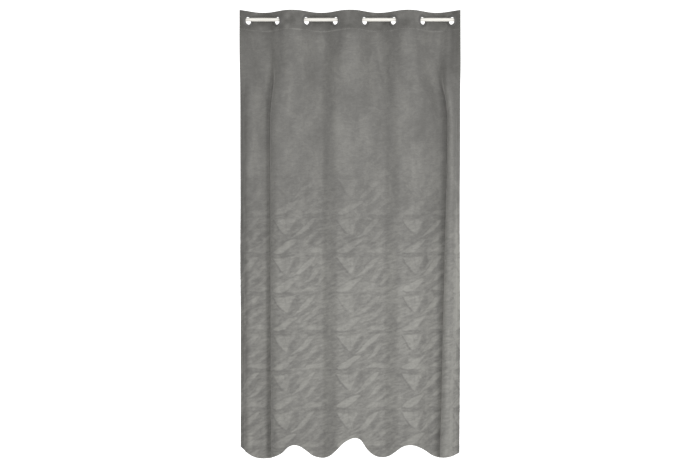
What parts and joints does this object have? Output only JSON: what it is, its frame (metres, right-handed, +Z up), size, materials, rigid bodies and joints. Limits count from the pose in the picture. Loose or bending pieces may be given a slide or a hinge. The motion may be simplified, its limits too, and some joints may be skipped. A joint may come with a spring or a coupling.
{
  "type": "curtain panel",
  "caption": "Long velvet eyelet curtain panel in soft vertical pleats with a scalloped hem, hung on a slim tubular rod; the pleats fold together along it.",
  "frame": {"origin": "on the rod's axis, half way along the cloth", "axes": "X along the rod, +Y towards the wall behind the cloth, +Z up; the room side is -Y"},
  "size_m": [1.18, 0.0902, 2.4],
  "materials": {
    "velvet": "embossed velvet pile",
    "velvet_back": "plain knitted back of the velvet",
    "header_tape": "stiff white buckram",
    "eyelet": "satin moulded grey",
    "rod": "satin warm white"
  },
  "bodies": {
    "rod": {"curtain_rod": "rod"},
    "pleat_1": {"cloth_1": "velvet", "header_tape_1": "header_tape", "header_facing_1": "velvet_back", "hem_facing_1": "velvet_back", "eyelet_front_1": "eyelet", "eyelet_clip_1": "eyelet", "side_hem_left": "velvet_back"},
    "pleat_2": {"cloth_2": "velvet", "header_tape_2": "header_tape", "header_facing_2": "velvet_back", "hem_facing_2": "velvet_back", "eyelet_front_2": "eyelet", "eyelet_clip_2": "eyelet"},
    "pleat_3": {"cloth_3": "velvet", "header_tape_3": "header_tape", "header_facing_3": "velvet_back", "hem_facing_3": "velvet_back", "eyelet_front_3": "eyelet", "eyelet_clip_3": "eyelet"},
    "pleat_4": {"cloth_4": "velvet", "header_tape_4": "header_tape", "header_facing_4": "velvet_back", "hem_facing_4": "velvet_back", "eyelet_front_4": "eyelet", "eyelet_clip_4": "eyelet"},
    "pleat_5": {"cloth_5": "velvet", "header_tape_5": "header_tape", "header_facing_5": "velvet_back", "hem_facing_5": "velvet_back", "eyelet_front_5": "eyelet", "eyelet_clip_5": "eyelet"},
    "pleat_6": {"cloth_6": "velvet", "header_tape_6": "header_tape", "header_facing_6": "velvet_back", "hem_facing_6": "velvet_back", "eyelet_front_6": "eyelet", "eyelet_clip_6": "eyelet"},
    "pleat_7": {"cloth_7": "velvet", "header_tape_7": "header_tape", "header_facing_7": "velvet_back", "hem_facing_7": "velvet_back", "eyelet_front_7": "eyelet", "eyelet_clip_7": "eyelet"},
    "pleat_8": {"cloth_8": "velvet", "header_tape_8": "header_tape", "header_facing_8": "velvet_back", "hem_facing_8": "velvet_back", "eyelet_front_8": "eyelet", "eyelet_clip_8": "eyelet", "side_hem_right": "velvet_back"}
  },
  "joints": [
    {"name": "pleat_1_turn", "type": "hinge", "parent": "rod", "child": "pleat_1", "pos_m": [-0.546, 0, 0], "axis": [0, 0, 1], "range_deg": [0, 50]},
    {"name": "pleat_2_turn", "type": "hinge", "parent": "pleat_1", "child": "pleat_2", "pos_m": [-0.468, 0.04193, 0], "axis": [0, 0, -1], "range_deg": [0, 100]},
    {"name": "pleat_3_turn", "type": "hinge", "parent": "pleat_2", "child": "pleat_3", "pos_m": [-0.312, -0.04193, 0], "axis": [0, 0, 1], "range_deg": [0, 100]},
    {"name": "pleat_4_turn", "type": "hinge", "parent": "pleat_3", "child": "pleat_4", "pos_m": [-0.156, 0.04193, 0], "axis": [0, 0, -1], "range_deg": [0, 100]},
    {"name": "pleat_5_turn", "type": "hinge", "parent": "pleat_4", "child": "pleat_5", "pos_m": [0, -0.04193, 0], "axis": [0, 0, 1], "range_deg": [0, 100]},
    {"name": "pleat_6_turn", "type": "hinge", "parent": "pleat_5", "child": "pleat_6", "pos_m": [0.156, 0.04193, 0], "axis": [0, 0, -1], "range_deg": [0, 100]},
    {"name": "pleat_7_turn", "type": "hinge", "parent": "pleat_6", "child": "pleat_7", "pos_m": [0.312, -0.04193, 0], "axis": [0, 0, 1], "range_deg": [0, 100]},
    {"name": "pleat_8_turn", "type": "hinge", "parent": "pleat_7", "child": "pleat_8", "pos_m": [0.468, 0.04193, 0], "axis": [0, 0, -1], "range_deg": [0, 100]}
  ],
  "couplings": [
    {"joint": "pleat_2_turn", "follows": "pleat_1_turn", "ratio": 2},
    {"joint": "pleat_3_turn", "follows": "pleat_1_turn", "ratio": 2},
    {"joint": "pleat_4_turn", "follows": "pleat_1_turn", "ratio": 2},
    {"joint": "pleat_5_turn", "follows": "pleat_1_turn", "ratio": 2},
    {"joint": "pleat_6_turn", "follows": "pleat_1_turn", "ratio": 2},
    {"joint": "pleat_7_turn", "follows": "pleat_1_turn", "ratio": 2},
    {"joint": "pleat_8_turn", "follows": "pleat_1_turn", "ratio": 2}
  ]
}
